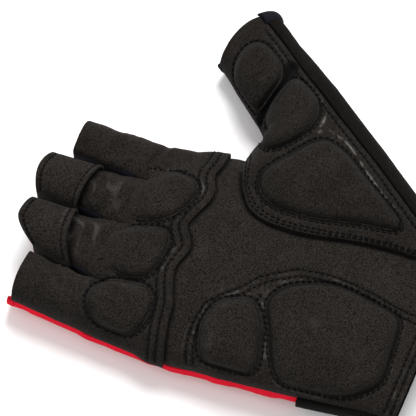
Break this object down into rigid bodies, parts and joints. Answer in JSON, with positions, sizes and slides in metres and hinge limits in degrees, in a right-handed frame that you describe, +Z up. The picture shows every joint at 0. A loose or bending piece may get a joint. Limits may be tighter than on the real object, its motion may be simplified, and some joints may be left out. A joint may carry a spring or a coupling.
{
  "type": "cycling glove",
  "caption": "Padded half-finger cycling glove for the right hand, suede palm with raised pads and pull tabs, stretch cloth back, lying palm up.",
  "frame": {"origin": "on the surface that the glove lies on, under the middle of its bounding box", "axes": "+X across the hand towards the thumb, +Y along the hand towards the fingertips, +Z up out of the palm"},
  "size_m": [0.1576, 0.1694, 0.0314],
  "materials": {
    "suede": "brown-black synthetic suede with a short mottled nap",
    "pad_suede": "brown-black synthetic suede stretched over foam",
    "red_knit": "red stretch knit",
    "navy_stretch": "dark navy stretch cloth",
    "strap": "matt black strap"
  },
  "bodies": {
    "root": {"palm_panel": "suede", "knuckle_panel": "suede", "thumb_panel": "suede", "thumb_side_strip": "suede", "tab_middle": "suede", "tab_ring": "suede", "pad_index": "pad_suede", "pad_ring": "pad_suede", "pad_little": "pad_suede", "pad_heel_small": "pad_suede", "pad_heel_large": "pad_suede", "pad_thumb_tip": "pad_suede", "pad_thumb_middle": "pad_suede", "pad_thumb_base": "pad_suede", "back_panel": "red_knit", "hem_band_little": "red_knit", "hem_band_ring": "red_knit", "hem_band_middle": "red_knit", "hem_band_index": "red_knit", "thumb_back": "navy_stretch", "gusset_ring_little": "navy_stretch", "gusset_middle_ring": "navy_stretch", "gusset_index_middle": "navy_stretch", "hem_band_thumb": "navy_stretch", "wrist_strap": "strap", "strap_closure": "strap"}
  },
  "joints": []
}
